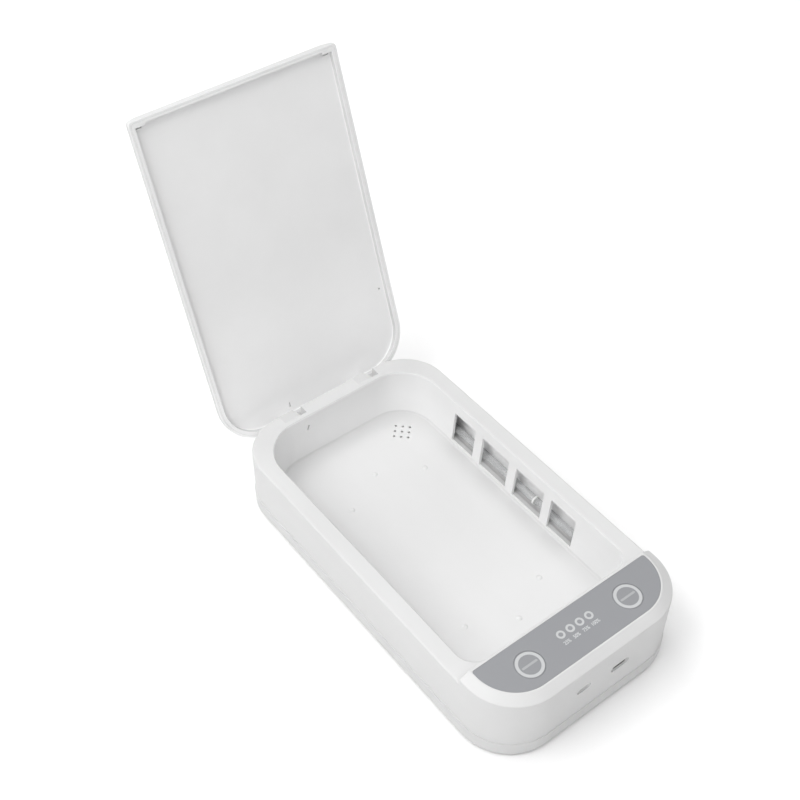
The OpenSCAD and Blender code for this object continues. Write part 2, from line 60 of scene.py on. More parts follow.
def noise(nt, coord, scale, detail=3.0, rough=0.5, stretch=None):
    n = nt.nodes.new("ShaderNodeTexNoise")
    n.inputs["Scale"].default_value = scale
    n.inputs["Detail"].default_value = detail
    n.inputs["Roughness"].default_value = rough
    src = coord
    if stretch:
        mp = nt.nodes.new("ShaderNodeMapping")
        mp.inputs["Scale"].default_value = stretch
        nt.links.new(coord, mp.inputs["Vector"])
        src = mp.outputs["Vector"]
    nt.links.new(src, n.inputs["Vector"])
    return n.outputs["Fac"]


def ranged(nt, fac, lo, hi, a=0.3, b=0.7):
    r = nt.nodes.new("ShaderNodeMapRange")
    r.inputs["From Min"].default_value = a
    r.inputs["From Max"].default_value = b
    r.inputs["To Min"].default_value = lo
    r.inputs["To Max"].default_value = hi
    nt.links.new(fac, r.inputs["Value"])
    return r.outputs["Result"]


def two_tone(nt, fac, c1, c2, a=0.35, b=0.65):
    r = nt.nodes.new("ShaderNodeValToRGB")
    r.color_ramp.elements[0].position = a
    r.color_ramp.elements[1].position = b
    r.color_ramp.elements[0].color = (*c1, 1)
    r.color_ramp.elements[1].color = (*c2, 1)
    nt.links.new(fac, r.inputs["Fac"])
    return r.outputs["Color"]


def bump(nt, p, height, dist, strength=1.0, after=None):
    b = nt.nodes.new("ShaderNodeBump")
    b.inputs["Distance"].default_value = dist
    b.inputs["Strength"].default_value = strength
    nt.links.new(height, b.inputs["Height"])
    if after is not None:
        nt.links.new(after, b.inputs["Normal"])
    nt.links.new(b.outputs["Normal"], p.inputs["Normal"])
    return b.outputs["Normal"]


def moulded(name, color, rough=0.45, spread=0.03, grain=2600.0, depth=0.00002, spec=0.45, tone=0.012, metallic=0.0, coat=0.0, wave=True):
    """Moulded plastic: fine spark-eroded grain, a faint flow pattern in its tone, and roughness that varies with it."""
    m, nt, p = principled(name)
    tc = nt.nodes.new("ShaderNodeTexCoord").outputs["Object"]
    fine = noise(nt, tc, grain, 2.0, 0.6)
    flow = noise(nt, tc, 26.0, 4.0, 0.55, (1.0, 0.35, 1.0))
    c1 = tuple(max(0.0, c - tone) for c in color)
    c2 = tuple(min(1.0, c + tone) for c in color)
    nt.links.new(two_tone(nt, flow, c1, c2), p.inputs["Base Color"])
    mix = nt.nodes.new("ShaderNodeMath")
    mix.operation = "ADD"
    nt.links.new(ranged(nt, flow, rough - spread, rough + spread), mix.inputs[0])
    nt.links.new(ranged(nt, fine, -0.03, 0.03), mix.inputs[1])
    nt.links.new(mix.outputs[0], p.inputs["Roughness"])
    first = bump(nt, p, fine, depth, 1.0)
    if wave:
        bump(nt, p, noise(nt, tc, 55.0, 2.0, 0.5), 0.00005, 0.5, first)
    p.inputs["Specular IOR Level"].default_value = spec
    p.inputs["Metallic"].default_value = metallic
    p.inputs["Coat Weight"].default_value = coat
    return m


def shaded(m, *ramps):
    """Paints light and shade into a material's colour by scaling it along axes of the object. Each ramp is (axis, low
    factor, high factor, low mm, high mm).
    """
    nt = m.node_tree
    p = next(n for n in nt.nodes if n.type == "BSDF_PRINCIPLED")
    col = p.inputs["Base Color"].links[0].from_socket
    tc = next(n for n in nt.nodes if n.type == "TEX_COORD").outputs["Object"]
    xyz = nt.nodes.new("ShaderNodeSeparateXYZ")
    nt.links.new(tc, xyz.inputs[0])
    for axis, lo, hi, a, b in ramps:
        mul = nt.nodes.new("ShaderNodeVectorMath")
        mul.operation = "SCALE"
        nt.links.new(col, mul.inputs[0])
        nt.links.new(ranged(nt, xyz.outputs[axis], lo, hi, a / 1000, b / 1000), mul.inputs["Scale"])
        col = mul.outputs[0]
    nt.links.new(col, p.inputs["Base Color"])
    return m


def metal(name, color, rough=0.3, along="y", scale=900.0, depth=0.000012):
    """Drawn or brushed metal, with fine streaks along one axis."""
    m, nt, p = principled(name)
    tc = nt.nodes.new("ShaderNodeTexCoord").outputs["Object"]
    s = {"x": (0.03, 1, 1), "y": (1, 0.03, 1), "z": (1, 1, 0.03), "n": (1, 1, 1)}[along]
    st = noise(nt, tc, scale, 3.0, 0.6, s)
    cl = noise(nt, tc, 120.0, 3.0, 0.5)
    nt.links.new(two_tone(nt, cl, tuple(c * 0.93 for c in color), tuple(min(1, c * 1.04) for c in color)), p.inputs["Base Color"])
    nt.links.new(ranged(nt, st, rough - 0.07, rough + 0.09), p.inputs["Roughness"])
    bump(nt, p, st, depth, 1.0)
    p.inputs["Metallic"].default_value = 1.0
    return m


m_shell = moulded("abs_white", (0.635, 0.635, 0.635), 0.5)
# painted light: the lid's inside face is a brighter copy of the white plastic, lighter still (x1.14) towards its lower
# end
m_lid_painted_light = shaded(moulded("abs_white_lid_painted_light", (0.815, 0.815, 0.815), 0.5), ("Z", 1.14, 1.0, 42, 110))
# painted light and shade: the tray is a brighter copy of the white plastic, 25% darker at the floor (painted shade),
# lighter on the left and darker on the right (painted light from the left)
m_tray_painted_light = shaded(moulded("abs_white_tray_painted_light", (0.865, 0.865, 0.865), 0.55, grain=3200.0, spec=0.35), ("Z", 0.75, 1.0, 10.35, 11.4), ("X", 1.08, 0.955, -50, 50))
m_cover = moulded("abs_white_cover", (0.62, 0.62, 0.62), 0.52, depth=0.00003)
m_panel = moulded("panel_grey", (0.257, 0.262, 0.275), 0.36, 0.04, 4200.0, 0.000008, tone=0.006, wave=False)
m_key = moulded("key_grey", (0.253, 0.258, 0.270), 0.38, 0.04, 4200.0, 0.000008, tone=0.006, wave=False)
m_ring = moulded("ring_white", (0.50, 0.507, 0.515), 0.4, 0.03, 5000.0, 0.000006, tone=0.01, wave=False)
m_print = moulded("print_pale", (0.37, 0.375, 0.385), 0.42, 0.03, 6000.0, 0.000004, tone=0.02, wave=False)
m_scale = moulded("scale_pale", (0.60, 0.61, 0.62), 0.42, 0.03, 6000.0, 0.000004, tone=0.02, wave=False)
m_stem = moulded("pom_white", (0.72, 0.72, 0.70), 0.38)
m_foot = moulded("rubber_grey", (0.30, 0.30, 0.31), 0.75, 0.05, 2200.0, 0.00006, spec=0.3, tone=0.02)
m_black = moulded("part_black", (0.022, 0.022, 0.024), 0.5, 0.08, 3000.0, 0.00002, tone=0.006)
m_ivory = moulded("part_ivory", (0.72, 0.68, 0.56), 0.42)
m_led = moulded("led_resin", (0.86, 0.83, 0.58), 0.2, 0.05, 3000.0, 0.000006)
m_tape = moulded("tape_yellow", (0.72, 0.48, 0.07), 0.34, 0.06, 1400.0, 0.00003)
m_holder = moulded("silicone_grey", (0.66, 0.66, 0.665), 0.62, 0.05, 1800.0, 0.00004)
m_lead = moulded("wire_white", (0.80, 0.80, 0.79), 0.36, 0.05, 1500.0, 0.00002)
m_clip = moulded("clip_white", (0.84, 0.84, 0.83), 0.35, 0.04, 2500.0, 0.00001)
m_film = moulded("heater_film", (0.62, 0.26, 0.05), 0.28, 0.05, 900.0, 0.00002)
m_steel = metal("steel", (0.56, 0.56, 0.575), 0.3, "n")
m_sock = metal("socket_steel", (0.30, 0.30, 0.31), 0.34, "y")
m_gold = metal("contact_gold", (0.85, 0.62, 0.26), 0.22, "y")


def reflector_material():
    """Satin white-coated sheet, drawn along the lamp. Its colour is darker towards the edges next to the tray wall, a
    painted shade on its lower part, and darker next to the lamp's end.
    """
    m, nt, p = principled("reflector_sheet")
    tc = nt.nodes.new("ShaderNodeTexCoord").outputs["Object"]
    st = noise(nt, tc, 1500.0, 3.0, 0.6, (1, 0.03, 1))
    wide = noise(nt, tc, 420.0, 2.0, 0.5, (1, 0.02, 1))
    xyz = nt.nodes.new("ShaderNodeSeparateXYZ")
    nt.links.new(tc, xyz.inputs[0])
    side = nt.nodes.new("ShaderNodeMath")
    side.operation = "ABSOLUTE"
    nt.links.new(xyz.outputs["X"], side.inputs[0])
    # painted shade: the colour darkens towards the trough's edges by the tray wall, darkest at its lower edge
    up = ranged(nt, side.outputs[0], 0.44, 0.97, 0.0508, 0.0542)
    end = ranged(nt, xyz.outputs["Y"], 1.0, 0.55, 0.050, 0.065)
    tone = nt.nodes.new("ShaderNodeMath")
    tone.operation = "MULTIPLY"
    nt.links.new(up, tone.inputs[0])
    nt.links.new(end, tone.inputs[1])
    streak = nt.nodes.new("ShaderNodeMath")
    streak.operation = "MULTIPLY"
    nt.links.new(tone.outputs[0], streak.inputs[0])
    nt.links.new(ranged(nt, wide, 0.94, 1.02), streak.inputs[1])
    rgb = nt.nodes.new("ShaderNodeCombineColor")
    for i in range(3):
        nt.links.new(streak.outputs[0], rgb.inputs[i])
    nt.links.new(rgb.outputs[0], p.inputs["Base Color"])
    nt.links.new(ranged(nt, st, 0.45, 0.6), p.inputs["Roughness"])
    bump(nt, p, st, 0.000008, 1.0)
    p.inputs["Metallic"].default_value = 0.05
    return m


m_refl = reflector_material()


def board_material():
    m, nt, p = principled("board_green")
    tc = nt.nodes.new("ShaderNodeTexCoord").outputs["Object"]
    v = nt.nodes.new("ShaderNodeTexVoronoi")
    v.feature = "DISTANCE_TO_EDGE"
    v.distance = "MANHATTAN" if hasattr(v, "distance") else v.distance
    v.inputs["Scale"].default_value = 260.0
    nt.links.new(tc, v.inputs["Vector"])
    tr = ranged(nt, v.outputs["Distance"], 1.0, 0.0, 0.04, 0.09)
    nt.links.new(two_tone(nt, tr, (0.012, 0.10, 0.045), (0.02, 0.17, 0.075), 0.1, 0.9), p.inputs["Base Color"])
    nt.links.new(ranged(nt, noise(nt, tc, 500.0), 0.26, 0.4), p.inputs["Roughness"])
    bump(nt, p, tr, 0.00003, 1.0)
    return m


def sponge_material():
    m, nt, p = principled("sponge")
    tc = nt.nodes.new("ShaderNodeTexCoord").outputs["Object"]
    v = nt.nodes.new("ShaderNodeTexVoronoi")
    v.inputs["Scale"].default_value = 1400.0
    nt.links.new(tc, v.inputs["Vector"])
    nt.links.new(two_tone(nt, v.outputs["Distance"], (0.45, 0.42, 0.40), (0.78, 0.76, 0.73), 0.1, 0.6), p.inputs["Base Color"])
    p.inputs["Roughness"].default_value = 0.9
    bump(nt, p, v.outputs["Distance"], 0.0004, 1.0)
    return m


def glass_material():
    m, nt, p = principled("lamp_glass")
    tc = nt.nodes.new("ShaderNodeTexCoord").outputs["Object"]
    n = noise(nt, tc, 220.0, 3.0, 0.5, (1, 0.1, 1))
    nt.links.new(two_tone(nt, n, (0.93, 0.935, 0.94), (0.97, 0.973, 0.976)), p.inputs["Base Color"])
    nt.links.new(ranged(nt, n, 0.2, 0.28), p.inputs["Roughness"])
    bump(nt, p, n, 0.00001, 0.4)
    p.inputs["Transmission Weight"].default_value = 0.9
    p.inputs["IOR"].default_value = 1.33
    return m


m_board = board_material()
m_sponge = sponge_material()
m_glass = glass_material()

# -------------------------------------------------------------- mesh helpers


def arc(cx, cy, r, a0, a1, n):
    """n + 1 points of an arc, angles in degrees."""
    return [
        (cx + r * math.cos(math.radians(a0 + (a1 - a0) * i / n)), cy + r * math.sin(math.radians(a0 + (a1 - a0) * i / n)))
        for i in range(n + 1)
    ]


def outline(h, y0, y1, rf, rr, n=28):
    """Rounded rectangle, counter-clockwise from the middle of the front's right corner."""
    return (
        arc(h - rf, y0 + rf, rf, -90, 0, n)
        + arc(h - rr, y1 - rr, rr, 0, 90, n)
        + arc(-h + rr, y1 - rr, rr, 90, 180, n)
        + arc(-h + rf, y0 + rf, rf, 180, 270, n)
    )


def d_outline(c, yr, rt, n=28, k=4, h=HW, y0=YF, rf=27.7):
    """Outline of the control block: inset c at the front and sides, straight rear edge at yr with tips of radius rt."""
    hh = h - c
    return (
        arc(hh - (rf - c), y0 + rf, rf - c, -90, 0, n)
        + arc(hh - rt, yr - rt, rt, 0, 90, k)
        + arc(-hh + rt, yr - rt, rt, 90, 180, k)
        + arc(-hh + (rf - c), y0 + rf, rf - c, 180, 270, n)
    )


def at(pts, z):
    return [(x, y, z) for x, y in pts]


def loft(rings, cap0=False, cap1=False, ring_loop=False):
    """Vertices and faces of closed rings joined in turn."""
    n = len(rings[0])
    verts = [p for r in rings for p in r]
    faces = []
    last = len(rings) if ring_loop else len(rings) - 1
    for i in range(last):
        a, b = i * n, ((i + 1) % len(rings)) * n
        for j in range(n):
            k = (j + 1) % n
            faces.append((a + j, a + k, b + k, b + j))
    if cap0:
        faces.append(tuple(reversed(range(n))))
    if cap1:
        faces.append(tuple((len(rings) - 1) * n + j for j in range(n)))
    return verts, faces


def clean(me, merge=2e-6):
    bm = bmesh.new()
    bm.from_mesh(me)
    bmesh.ops.remove_doubles(bm, verts=bm.verts, dist=merge)
    bmesh.ops.dissolve_degenerate(bm, dist=1e-7, edges=bm.edges)
    bmesh.ops.recalc_face_normals(bm, faces=bm.faces)
    bm.to_mesh(me)
    bm.free()


def raw(name, parts, matrix=None):
    """One object from several (verts, faces) in mm."""
    verts, faces = [], []
    for v, f in parts:
        o = len(verts)
        verts += [(x * MM, y * MM, z * MM) for x, y, z in v]
        faces += [tuple(i + o for i in g) for g in f]
    me = bpy.data.meshes.new(name)
    me.from_pydata(verts, [], faces)
    me.update()
    clean(me)
    ob = bpy.data.objects.new(name, me)
    bpy.context.scene.collection.objects.link(ob)
    if matrix is not None:
        me.transform(matrix)
    return ob


def boolean(ob, cutter, op):
    mod = ob.modifiers.new("bool", "BOOLEAN")
    mod.operation = op
    mod.solver = "EXACT"
    mod.object = cutter
    bpy.context.view_layer.update()
    dg = bpy.context.evaluated_depsgraph_get()
    me = bpy.data.meshes.new_from_object(ob.evaluated_get(dg))
    ob.modifiers.clear()
    old = ob.data
    ob.data = me
    bpy.data.meshes.remove(old)
    old = cutter.data
    bpy.data.objects.remove(cutter)
    bpy.data.meshes.remove(old)


def finish_piece(ob, body, material, nodes=(), angle=28.0, flat_dissolve=True, weighted=True, second=None):
    me = ob.data
    bm = bmesh.new()
    bm.from_mesh(me)
    bmesh.ops.remove_doubles(bm, verts=bm.verts, dist=1.5e-6)
    if flat_dissolve:
        bmesh.ops.dissolve_limit(bm, angle_limit=math.radians(0.05), verts=bm.verts, edges=bm.edges)
    bmesh.ops.recalc_face_normals(bm, faces=bm.faces)
    for f in bm.faces:
        f.smooth = True
    bm.to_mesh(me)
    bm.free()
    me.set_sharp_from_angle(angle=math.radians(angle))
    me.materials.clear()
    me.materials.append(material)
    if second:
        me.materials.append(second[0])
        for f in me.polygons:
            f.material_index = 1 if second[1](f.center / MM, f.normal) else 0
    if weighted:
        w = ob.modifiers.new("normals", "WEIGHTED_NORMAL")
        w.keep_sharp = True
        w.weight = 50
    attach(ob, body)
    if nodes:
        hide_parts(*nodes)
    return ob


def box(x0, x1, y0, y1, z0, z1):
    return loft([[(x0, y0, z), (x1, y0, z), (x1, y1, z), (x0, y1, z)] for z in (z0, z1)], True, True)


def tube(cx, cy, z0, z1, r, n=48, flare=0.0, top=None):
    """Upright cylinder; with flare, its upper end widens by that much at height top."""
    rings = [(r, z0)]
    if flare:
        rings += [(r, top - flare), (r + flare, top)]
        rings += [(r + flare, z1)]
    else:
        rings += [(r, z1)]
    return loft([[(cx + q * math.cos(2 * math.pi * i / n), cy + q * math.sin(2 * math.pi * i / n), z) for i in range(n)] for q, z in rings], True, True)


def lathe(cx, cy, profile, n=96, closed=False):
    """Turned piece about a vertical axis. profile is (radius, z) from one end to the other."""
    return loft(
        [[(cx + q * math.cos(2 * math.pi * i / n), cy + q * math.sin(2 * math.pi * i / n), z) for i in range(n)] for q, z in profile],
        not closed, not closed, closed,
    )


def ring_of(cx, cy, r0, r1, z0, z1, b=0.08, n=96):
    """Flat ring with softened upper edges."""
    prof = [(r0, z0), (r1, z0), (r1, z1 - b), (r1 - b * 0.3, z1 - b * 0.3), (r1 - b, z1), (r0 + b, z1), (r0 + b * 0.3, z1 - b * 0.3), (r0, z1 - b)]
    return lathe(cx, cy, prof, n, True)


def stadium(w, h, n=12):
    """Slot outline in X and Z, centred."""
    r = h / 2
    return arc(w / 2 - r, 0, r, -90, 90, n) + arc(-w / 2 + r, 0, r, 90, 270, n)


def slot_cut(cx, cz, w, h, ys, flares):
    rings = []
    for y, f in zip(ys, flares):
        rings.append([(cx + x, y, cz + z) for x, z in stadium(w + 2 * f, h + 2 * f)])
    return loft(rings, True, True)


def corner(c0, z0, c1, z1, c2, z2, r, n=5):
    """Rounds the corner at point 1 of a profile. Returns n + 1 points."""
    a = Vector((c0 - c1, z0 - z1)).normalized()
    b = Vector((c2 - c1, z2 - z1)).normalized()
    half = math.acos(max(-1, min(1, a.dot(b)))) / 2
    t = r / math.tan(half)
    p0 = Vector((c1, z1)) + a * t
    p1 = Vector((c1, z1)) + b * t
    cen = Vector((c1, z1)) + (a + b).normalized() * (r / math.sin(half))
    v0, v1 = p0 - cen, p1 - cen
    ang = v0.angle(v1)
    out = []
    for i in range(n + 1):
        s = i / n
        k0 = math.sin((1 - s) * ang) / math.sin(ang)
        k1 = math.sin(s * ang) / math.sin(ang)
        v = v0 * k0 + v1 * k1
        out.append((cen.x + v.x, cen.y + v.y))
    return out


# ------------------------------------------------------------------- housing


def tray_dims(z, grow=0.0):
    """Half width, front, rear and corner radii of the tray's inner wall at height z."""
    d = RIM - z
    s = d / (RIM - FLOOR_Z)
    return (
        50.2 - d * 0.084 + grow, -73.2 + d * 0.052 - grow, 98.86 - d * 0.052 + grow,
        10.0 - 1.4 * s + grow, 22.3 - 1.4 * s + grow,
    )


def tray_ring(z, grow=0.0):
    return at(outline(*tray_dims(z, grow)), z)


def body_ring(c, z):
    return at(outline(HW - c, YF + c, YR - c, 27.7 - c, 24.7 - c), z)


def build_housing():
    rings = [body_ring(0.0, SEAM), body_ring(0.0, RIM - 1.0)]
    rings += [body_ring(c, z) for c, z in arc(1.0, RIM - 1.0, 1.0, 180, 90, 6)[1:]]
    # mouth, softened edge
    r = 0.7
    for i in range(6):
        a = math.radians(90 * i / 5)
        rings.append(tray_ring_at(RIM - r + r * math.cos(a), r * (1 - math.sin(a))))
    rings.append(tray_ring(36.3))
    rings.append(body_ring(2.2, 36.3))
    rings.append(body_ring(2.2, SEAM))
    ob = raw("housing_shell", [loft(rings, ring_loop=True)])
    # control block
    prof = [(0.0, 36.8)]
    prof += corner(0.0, 36.8, 0.0, 41.3, 5.2, 44.0, 0.9, 5)
    prof += corner(0.0, 41.3, 5.2, 44.0, 9.0, 44.0, 1.2, 4)
    # levels needed for the softened rear edge
    levels = sorted(set([round(z, 5) for _, z in prof] + [43.5, 43.62, 43.73, 43.83, 43.91, 43.97]))
    prof_by_z = sorted(prof, key=lambda q: q[1])

    def inset(z):
        for (c0, z0), (c1, z1) in zip(prof_by_z, prof_by_z[1:]):
            if z0 <= z <= z1:
                return c0 if z1 == z0 else c0 + (c1 - c0) * (z - z0) / (z1 - z0)
        return prof_by_z[-1][0]

    rings = []
    for z in levels:
        back = 0.5 - math.sqrt(max(0.0, 0.25 - max(0.0, z - 43.5) ** 2))
        rings.append(at(d_outline(inset(z), YB - back, 0.6), z))
    block = raw("block", [loft(rings, True, True)])
    boolean(ob, block, "UNION")
    # bosses for the hinge pins
    bosses = []
    for x in (13.4, 30.7):
        for s in (1, -1):
            x0 = x if s > 0 else -x - 3.8
            bosses.append(box(x0, x0 + 3.8, PIV[0] - 2.9, 106.2, PIV[1] - 2.9, 36.5))
    boolean(ob, raw("bosses", bosses), "UNION")
    cut = []
    # hollow of the block
    cut.append(loft([at(d_outline(4.5, YB - 1.8, 1.0), z) for z in (30.0, 42.2)], True, True))
    # sockets
    ys = (-109.0, -107.5, -107.35, -107.1, -104.0)
    cut.append(slot_cut(11.7, 25.4, 10.9, 3.9, ys, (0.3, 0.3, 0.1, 0.0, 0.0)))
    cut.append(slot_cut(-11.3, 27.35, 8.1, 3.1, ys, (0.3, 0.3, 0.1, 0.0, 0.0)))
    # hinge notches, with a softened mouth
    for s in (1, -1):
        x0, x1 = (17.2, 30.7) if s > 0 else (-30.7, -17.2)
        rr = []
        for z, f in ((26.72, 0.0), (38.05, 0.0), (38.22, 0.07), (38.3, 0.25), (40.0, 0.25)):
            rr.append([(x0 - f, 101.8 - f, z), (x1 + f, 101.8 - f, z), (x1 + f, 110.0, z), (x0 - f, 110.0, z)])
        cut.append(loft(rr, True, True))
    boolean(ob, raw("cut", cut), "DIFFERENCE")
    # openings in the deck, seat of the overlay
    boolean(ob, raw("cut", [loft([at(d_outline(5.86, YB - 1.36, 1.25, h=HW, k=6), z) for z in (43.2, 45.0)], True, True)]), "DIFFERENCE")
    keys = [tube(s * KEY_X, KEY_Y, 40.0, 44.5, 7.45, 96) for s in (1, -1)]
    keys += [tube((i - 1.5) * LED_PITCH, LED_Y, 41.0, 44.4, 1.8) for i in range(4)]
    boolean(ob, raw("cut", keys), "DIFFERENCE")
    # painted light: the mouth's inner wall and the lips of the socket openings take the tray's brighter white, so the
    # lips read lit
    def mouth(c, n):
        lip = c.z < 30 and c.y < -105.2 and (abs(c.x - 11.7) < 5.5 and abs(c.z - 25.4) < 1.98 or abs(c.x + 11.3) < 4.1 and abs(c.z - 27.35) < 1.58) and abs(n.y) < 0.3
        return lip or 36.32 < c.z < 38.0 and abs(c.x) < 50.6 and -74.2 < c.y < 99.4

    return finish_piece(ob, "base", m_shell, ("main_housing",), second=(m_tray_painted_light, mouth))


def tray_ring_at(z, grow):
    return at(outline(*tray_dims(z, grow)), z)


build_housing()

# ---------------------------------------------------------------------- tray


def build_tray():
    t = 1.6
    rings = [tray_ring_at(36.3, t), tray_ring(36.3), tray_ring(24.0)]
    r = 1.6
    zf = FLOOR_Z
    for i in range(7):
        a = math.radians(90 * i / 6)
        z = zf + r - r * math.sin(a)
        rings.append([(x, y, z) for x, y in outline(*tray_dims(zf + r, -r * (1 - math.cos(a))))])
    inner = loft(rings, False, True)
    outer = loft([tray_ring_at(36.3, t), tray_ring_at(zf - t, t)], False, True)
    ob = raw("tray_liner", [inner, outer])
    # bumps
    caps = []
    for bx, by in ((24.3, 52.05), (-24.3, 52.05), (24.3, -39.95), (-24.3, -39.95), (0, 64.5), (0, -52.3)):
        prof = [(1.75, zf - 0.5), (1.75, zf - 0.02), (1.62, zf + 0.03), (1.45, zf + 0.16), (1.2, zf + 0.34), (0.85, zf + 0.5), (0.45, zf + 0.59), (0.12, zf + 0.615)]
        caps.append(lathe(bx, by, prof, 32))
    boolean(ob, raw("caps", caps), "UNION")
    cut = []
    for y0, y1 in ((41.0, 58.15), (14.11, 35.06), (-13.09, 8.38), (-36.6, -18.52)):
        for s in (1, -1):
            x0 = 44.0 if s > 0 else -56.0
            cut.append(box(x0, x0 + 12.0, y0, y1, 11.44, 31.05))
            rr = []
            for z in (10.5, 32.0):
                xi = 50.2 - (RIM - z) * 0.084
                xa, xb = s * (xi + 0.55), s * (xi + 3.0)
                rr.append([(xa, y0 - 1.3, z), (xb, y0 - 1.3, z), (xb, y1 + 1.3, z), (xa, y1 + 1.3, z)])
            cut.append(loft(rr, True, True))
    # slit, leaning
    ca, sa = math.cos(math.radians(20)), math.sin(math.radians(20))
    pts = [(-18.6 + u * ca + w * sa, 29.9 - u * sa + w * ca) for u, w in ((-0.55, -1.7), (0.55, -1.7), (0.55, 1.7), (-0.55, 1.7))]
    cut.append(loft([[(x, y, z) for x, z in pts] for y in (94.0, 103.0)], True, True))
    for i in (-1, 0, 1):
        for j in (-1, 0, 1):
            cut.append(tube(30.92 + (i - j) * 2.76, 80.5 + (i + j) * 2.76, 6.0, 12.0, 0.7, 28, 0.12, zf))
    boolean(ob, raw("cut", cut), "DIFFERENCE")
    return finish_piece(ob, "base", m_tray_painted_light, ("tray",))


build_tray()

# -------------------------------------------------------------- bottom cover


def build_cover():
    def ring(c, z):
        return at(outline(HW + 0.4 - c, YF - 0.4 + c, YR + 0.4 - c, 28.1 - c, 25.1 - c), z)

    rings = [ring(3.7, 3.0), ring(2.7, 4.0), ring(2.7, SEAM)]
    rings += [ring(0.2, SEAM), ring(0.06, SEAM - 0.04), ring(0.0, SEAM - 0.16)]
    rings += [ring(c, z) for c, z in arc(1.7, 2.7, 1.7, 180, 270, 7)]
    ob = raw("bottom_shell", [loft(rings, True, True)])
    cut = []
    for x, y in ((47.7, 96.4), (-47.7, 96.4), (50, -88), (-50, -88), (0, 103.2), (0, -77.6)):
        cut.append(lathe(x, y, [(3.45, -1.0), (3.45, 1.0), (3.1, 1.25), (3.0, 1.5), (3.0, 2.6)], 40))
    for x, y in ((46, 78), (-46, 78), (46, -76), (-46, -76)):
        cut.append(lathe(x, y, [(5.35, -1.0), (5.35, 1.0), (5.15, 1.15), (5.1, 1.6)], 56))
    boolean(ob, raw("cut", cut), "DIFFERENCE")
    return finish_piece(ob, "base", m_cover, ("bottom_cover",))


build_cover()

pads = []
for x, y in ((46, 78), (-46, 78), (46, -76), (-46, -76)):
    pads.append(lathe(x, y, [(4.3, 0.0), (4.55, 0.04), (4.75, 0.16), (4.88, 0.36), (5.0, 0.6), (5.0, 1.6), (4.6, 1.6)], 64))
finish_piece(raw("foot_pads", pads), "base", m_foot, ("feet",))

# ------------------------------------------------------------- control panel


def build_overlay():
    prof = [(5.98, 43.2), (5.93, 43.24), (5.91, 43.32), (5.91, 43.82), (5.94, 43.92), (6.02, 43.97)]
    rings = []
    for c, z in prof:
        rings.append(at(d_outline(c, YB - 1.40 - (c - 5.91), 1.2, k=6), z))
    ob = raw("panel_face", [loft(rings, True, True)])
    cut = [tube(s * KEY_X, KEY_Y, 42.0, 45.0, 7.22, 112, 0.03, 43.97) for s in (1, -1)]
    for i in range(4):
        cut.append(lathe((i - 1.5) * LED_PITCH, LED_Y, [(1.15, 43.6), (2.2, 43.6), (2.2, 45.0), (1.15, 45.0)], 64, True))
    boolean(ob, raw("cut", cut), "DIFFERENCE")
    return finish_piece(ob, "base", m_panel, ("panel_overlay",))


build_overlay()

rings_ = [ring_of((i - 1.5) * LED_PITCH, LED_Y, 1.15, 2.2, 43.6, 43.99, 0.05, 72) for i in range(4)]
finish_piece(raw("indicator_rings", rings_), "base", m_ring, ("led_rings",))


def pill(cx, cy, w, h, z0, z1, n=10):
    """Flat bar with round ends."""
    pts = arc(w / 2 - h / 2, 0, h / 2, -90, 90, n) + arc(-w / 2 + h / 2, 0, h / 2, 90, 270, n)
    return loft([at([(cx + x, cy + y) for x, y in pts], z) for z in (z0, z1)], True, True)


for tag, sx in (("start", -1), ("aroma", 1)):
    cx = sx * KEY_X
    prof = [(8.3, 41.3), (8.5, 41.42), (8.5, 41.98), (8.4, 42.1), (7.15, 42.1), (7.15, 43.78), (7.11, 43.89), (7.0, 43.95), (5.0, 43.96), (2.0, 43.96)]
    cap = raw(tag + "_cap", [lathe(cx, KEY_Y, prof, 112)])
    boolean(cap, raw("cut", [lathe(cx, KEY_Y, [(5.2, 43.6), (6.7, 43.6), (6.7, 45.0), (5.2, 45.0)], 112, True)]), "DIFFERENCE")
    finish_piece(cap, tag + "_button", m_key, (tag + "_key",))
    finish_piece(raw(tag + "_halo", [ring_of(cx, KEY_Y, 5.2, 6.7, 43.6, 43.99, 0.06, 112)]), tag + "_button", m_ring, (tag + "_ring",))
    finish_piece(raw(tag + "_mark", [pill(cx, KEY_Y, 8.9, 1.15, 43.9, 43.975)]), tag + "_button", m_print, ())


def number(text, cx, cy, height, z0, z1):
    cu = bpy.data.curves.new("number", "FONT")
    cu.body = text
    cu.size = height * MM / 0.7
    cu.align_x = "CENTER"
    cu.align_y = "CENTER"
    cu.extrude = (z1 - z0) * MM / 2
    cu.offset = 0.00002
    tmp = bpy.data.objects.new("number", cu)
    bpy.context.scene.collection.objects.link(tmp)
    bpy.context.view_layer.update()
    me = bpy.data.meshes.new_from_object(tmp.evaluated_get(bpy.context.evaluated_depsgraph_get()))
    bpy.data.objects.remove(tmp)
    bpy.data.curves.remove(cu)
    me.transform(Matrix.Translation((cx * MM, cy * MM, (z0 + z1) / 2 * MM)) @ Matrix.Diagonal((0.86, 1, 1, 1)))
    return me


bm = bmesh.new()
for i, txt in enumerate(("25%", "50%", "75%", "100%")):
    me = number(txt, (i - 1.5) * LED_PITCH - 0.2, -91.55, 1.85, 43.94, 43.98)
    bm.from_mesh(me)
    bpy.data.meshes.remove(me)
me = bpy.data.meshes.new("panel_scale")
bm.to_mesh(me)
bm.free()
scale = bpy.data.objects.new("panel_scale", me)
bpy.context.scene.collection.objects.link(scale)
finish_piece(scale, "base", m_scale, (), weighted=False)

# ----------------------------------------------------------------------- lid


def lid_matrix():
    p = Vector((0.0, PIV[0] * MM, PIV[1] * MM))
    return Matrix.Translation(p) @ Matrix.Rotation(math.radians(OPEN), 4, "X") @ Matrix.Translation(-p)


